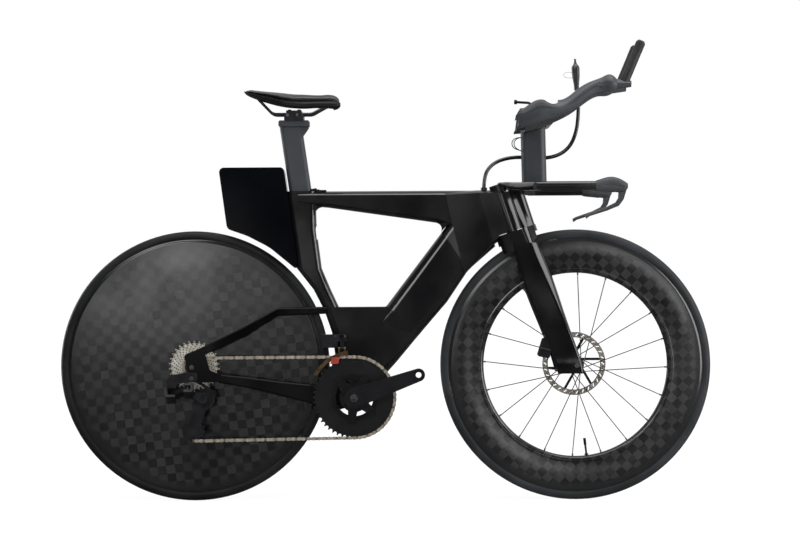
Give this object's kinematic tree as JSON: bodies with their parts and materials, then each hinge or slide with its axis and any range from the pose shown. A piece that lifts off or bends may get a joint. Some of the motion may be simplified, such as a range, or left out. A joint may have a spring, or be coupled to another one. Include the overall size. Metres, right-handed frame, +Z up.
{
  "type": "time trial bike",
  "caption": "Time trial bike with an aero frame, deep front rim, rear disc wheel, storage box behind the seat and forearm extensions over a wing base bar.",
  "frame": {"origin": "on the ground midway between the two wheel axles, in the bike's middle plane", "axes": "+X forward, +Y to the rider's left, +Z up"},
  "size_m": [1.634, 0.4288, 1.1468],
  "materials": {
    "bolt_steel": "blackened steel",
    "chain_steel": "plated steel with a warm tone",
    "checker_black": "woven composite with a fine checker, satin",
    "dark_alloy": "black anodised",
    "gloss_black": "clear-coated black composite",
    "hose_plastic": "smooth black flexible tube",
    "matte_black": "satin dark grey composite",
    "pad_foam": "soft black padding",
    "saddle_cover": "matte black synthetic cover over foam",
    "soft_rubber": "matte black rubber",
    "steel": "machined steel",
    "tyre_rubber": "satin black-grey tread",
    "wire_cover": "thin black covered wire"
  },
  "bodies": {
    "frame": {"main_frame": "gloss_black", "chainstays": "gloss_black", "seatstays": "gloss_black", "seat_clamp": "matte_black", "storage_box_shell": "gloss_black", "bearings": "dark_alloy", "front_derailleur_body": "dark_alloy", "rear_derailleur_body": "dark_alloy", "rear_axle": "dark_alloy", "rear_brake_caliper": "dark_alloy", "hose_port": "soft_rubber", "chain": "chain_steel"},
    "box_door": {"storage_box_door": "gloss_black"},
    "post": {"seatpost": "matte_black", "saddle_clamp": "dark_alloy"},
    "saddle": {"saddle_rails": "bolt_steel", "saddle_shell": "matte_black", "saddle_pad": "saddle_cover"},
    "steering": {"fork": "gloss_black", "front_axle": "dark_alloy", "front_brake_caliper": "dark_alloy", "base_bar": "gloss_black", "riser_column": "matte_black", "arm_bracket": "matte_black", "extension_right": "matte_black", "extension_left": "matte_black", "arm_pads": "pad_foam", "upright_grips": "soft_rubber", "brake_hoods": "soft_rubber", "cockpit_fittings": "steel", "riser_wires": "wire_cover", "hydration_hose": "hose_plastic", "bite_valve": "soft_rubber"},
    "lever_right": {"brake_lever_right": "dark_alloy"},
    "lever_left": {"brake_lever_left": "dark_alloy"},
    "button_right": {"shift_button_right": "soft_rubber"},
    "button_left": {"shift_button_left": "soft_rubber"},
    "front_wheel": {"front_tyre": "tyre_rubber", "front_rim": "checker_black", "front_spokes": "bolt_steel", "front_hub": "dark_alloy", "front_rotor": "steel", "front_valve": "dark_alloy"},
    "rear_wheel": {"rear_tyre": "tyre_rubber", "rear_disc": "checker_black", "rear_hub": "dark_alloy", "rear_rotor": "steel"},
    "sprockets": {"cassette": "steel"},
    "crank": {"crank_arm_right": "dark_alloy", "crank_arm_left": "dark_alloy", "chainrings": "dark_alloy"},
    "outer_link": {"rd_outer_link": "dark_alloy"},
    "inner_link": {"rd_inner_link": "dark_alloy"},
    "knuckle": {"rd_knuckle": "dark_alloy"},
    "cage": {"rd_cage": "dark_alloy"},
    "guide_wheel": {"guide_pulley": "dark_alloy"},
    "tension_wheel": {"tension_pulley": "dark_alloy"},
    "shift_link": {"fd_link": "dark_alloy"},
    "shift_cage": {"fd_cage": "steel"}
  },
  "joints": [
    {"name": "steering", "type": "hinge", "parent": "frame", "child": "steering", "pos_m": [0.43425, 0, 0.32478], "axis": [-0.309, 0, 0.9511], "range_deg": [-40, 40], "deforming": ["hydration_hose"]},
    {"name": "front_wheel_spin", "type": "hinge", "parent": "steering", "child": "front_wheel", "pos_m": [0.478, 0, 0.339], "axis": [0, 1, 0], "continuous": true},
    {"name": "rear_wheel_spin", "type": "hinge", "parent": "frame", "child": "rear_wheel", "pos_m": [-0.478, 0, 0.339], "axis": [0, 1, 0], "continuous": true},
    {"name": "crank_spin", "type": "hinge", "parent": "frame", "child": "crank", "pos_m": [-0.0755, 0, 0.261], "axis": [0, 1, 0], "continuous": true, "deforming": ["chain"]},
    {"name": "cassette_spin", "type": "hinge", "parent": "frame", "child": "sprockets", "pos_m": [-0.478, -0.045, 0.339], "axis": [0, 1, 0], "continuous": true, "deforming": ["chain"]},
    {"name": "rd_shift", "type": "hinge", "parent": "frame", "child": "outer_link", "pos_m": [-0.528, -0.07, 0.272], "axis": [0, 0.5736, 0.8192], "range_deg": [0, 60], "deforming": ["chain"]},
    {"name": "rd_inner_swing", "type": "hinge", "parent": "frame", "child": "inner_link", "pos_m": [-0.528, -0.05771, 0.2634], "axis": [0, 0.5736, 0.8192], "range_deg": [0, 60], "deforming": ["chain"]},
    {"name": "rd_knuckle_turn", "type": "hinge", "parent": "outer_link", "child": "knuckle", "pos_m": [-0.48643, -0.08966, 0.28577], "axis": [0, 0.5736, 0.8192], "range_deg": [-60, 0], "deforming": ["chain"]},
    {"name": "rd_cage_swing", "type": "hinge", "parent": "knuckle", "child": "cage", "pos_m": [-0.452, -0.06, 0.262], "axis": [0, 1, 0], "range_deg": [-40, 25], "stiffness_Nm_per_rad": 1.2, "deforming": ["chain"]},
    {"name": "guide_pulley_spin", "type": "hinge", "parent": "cage", "child": "guide_wheel", "pos_m": [-0.452, -0.06, 0.262], "axis": [0, 1, 0], "continuous": true, "deforming": ["chain"]},
    {"name": "tension_pulley_spin", "type": "hinge", "parent": "cage", "child": "tension_wheel", "pos_m": [-0.47458, -0.06, 0.18161], "axis": [0, 1, 0], "continuous": true, "deforming": ["chain"]},
    {"name": "fd_shift", "type": "hinge", "parent": "frame", "child": "shift_link", "pos_m": [-0.106, -0.044, 0.409], "axis": [1, 0, 0], "range_deg": [0, 14.5], "deforming": ["chain"]},
    {"name": "fd_cage_turn", "type": "hinge", "parent": "shift_link", "child": "shift_cage", "pos_m": [-0.106, -0.044, 0.383], "axis": [1, 0, 0], "range_deg": [-14.5, 0], "deforming": ["chain"]},
    {"name": "brake_lever_right", "type": "hinge", "parent": "steering", "child": "lever_right", "pos_m": [0.573, -0.2, 0.77], "axis": [0, 1, 0], "range_deg": [0, 22], "stiffness_Nm_per_rad": 0.8, "springref_deg": -14.32},
    {"name": "shift_button_right", "type": "slide", "parent": "steering", "child": "button_right", "axis": [-0.3907, 0, -0.9205], "range_m": [0, 0.0015], "stiffness_N_per_m": 900, "springref_m": -0.0006},
    {"name": "brake_lever_left", "type": "hinge", "parent": "steering", "child": "lever_left", "pos_m": [0.573, 0.2, 0.77], "axis": [0, 1, 0], "range_deg": [0, 22], "stiffness_Nm_per_rad": 0.8, "springref_deg": -14.32},
    {"name": "shift_button_left", "type": "slide", "parent": "steering", "child": "button_left", "axis": [-0.3907, 0, -0.9205], "range_m": [0, 0.0015], "stiffness_N_per_m": 900, "springref_m": -0.0006},
    {"name": "seatpost_height", "type": "slide", "parent": "frame", "child": "post", "axis": [-0.1426, 0, 0.9898], "range_m": [-0.025, 0.035]},
    {"name": "saddle_fore_aft", "type": "slide", "parent": "post", "child": "saddle", "axis": [1, 0, 0], "range_m": [-0.015, 0.015]},
    {"name": "storage_door", "type": "hinge", "parent": "frame", "child": "box_door", "pos_m": [-0.3905, 0.0215, 0.705], "axis": [-0.1371, 0, 0.9906], "range_deg": [0, 100]}
  ],
  "couplings": [
    {"joint": "cassette_spin", "follows": "crank_spin", "ratio": 4.5455},
    {"joint": "guide_pulley_spin", "follows": "crank_spin", "ratio": -4},
    {"joint": "tension_pulley_spin", "follows": "crank_spin", "ratio": 4},
    {"joint": "rd_inner_swing", "follows": "rd_shift", "ratio": 1},
    {"joint": "rd_knuckle_turn", "follows": "rd_shift", "ratio": -1},
    {"joint": "fd_cage_turn", "follows": "fd_shift", "ratio": -1}
  ]
}
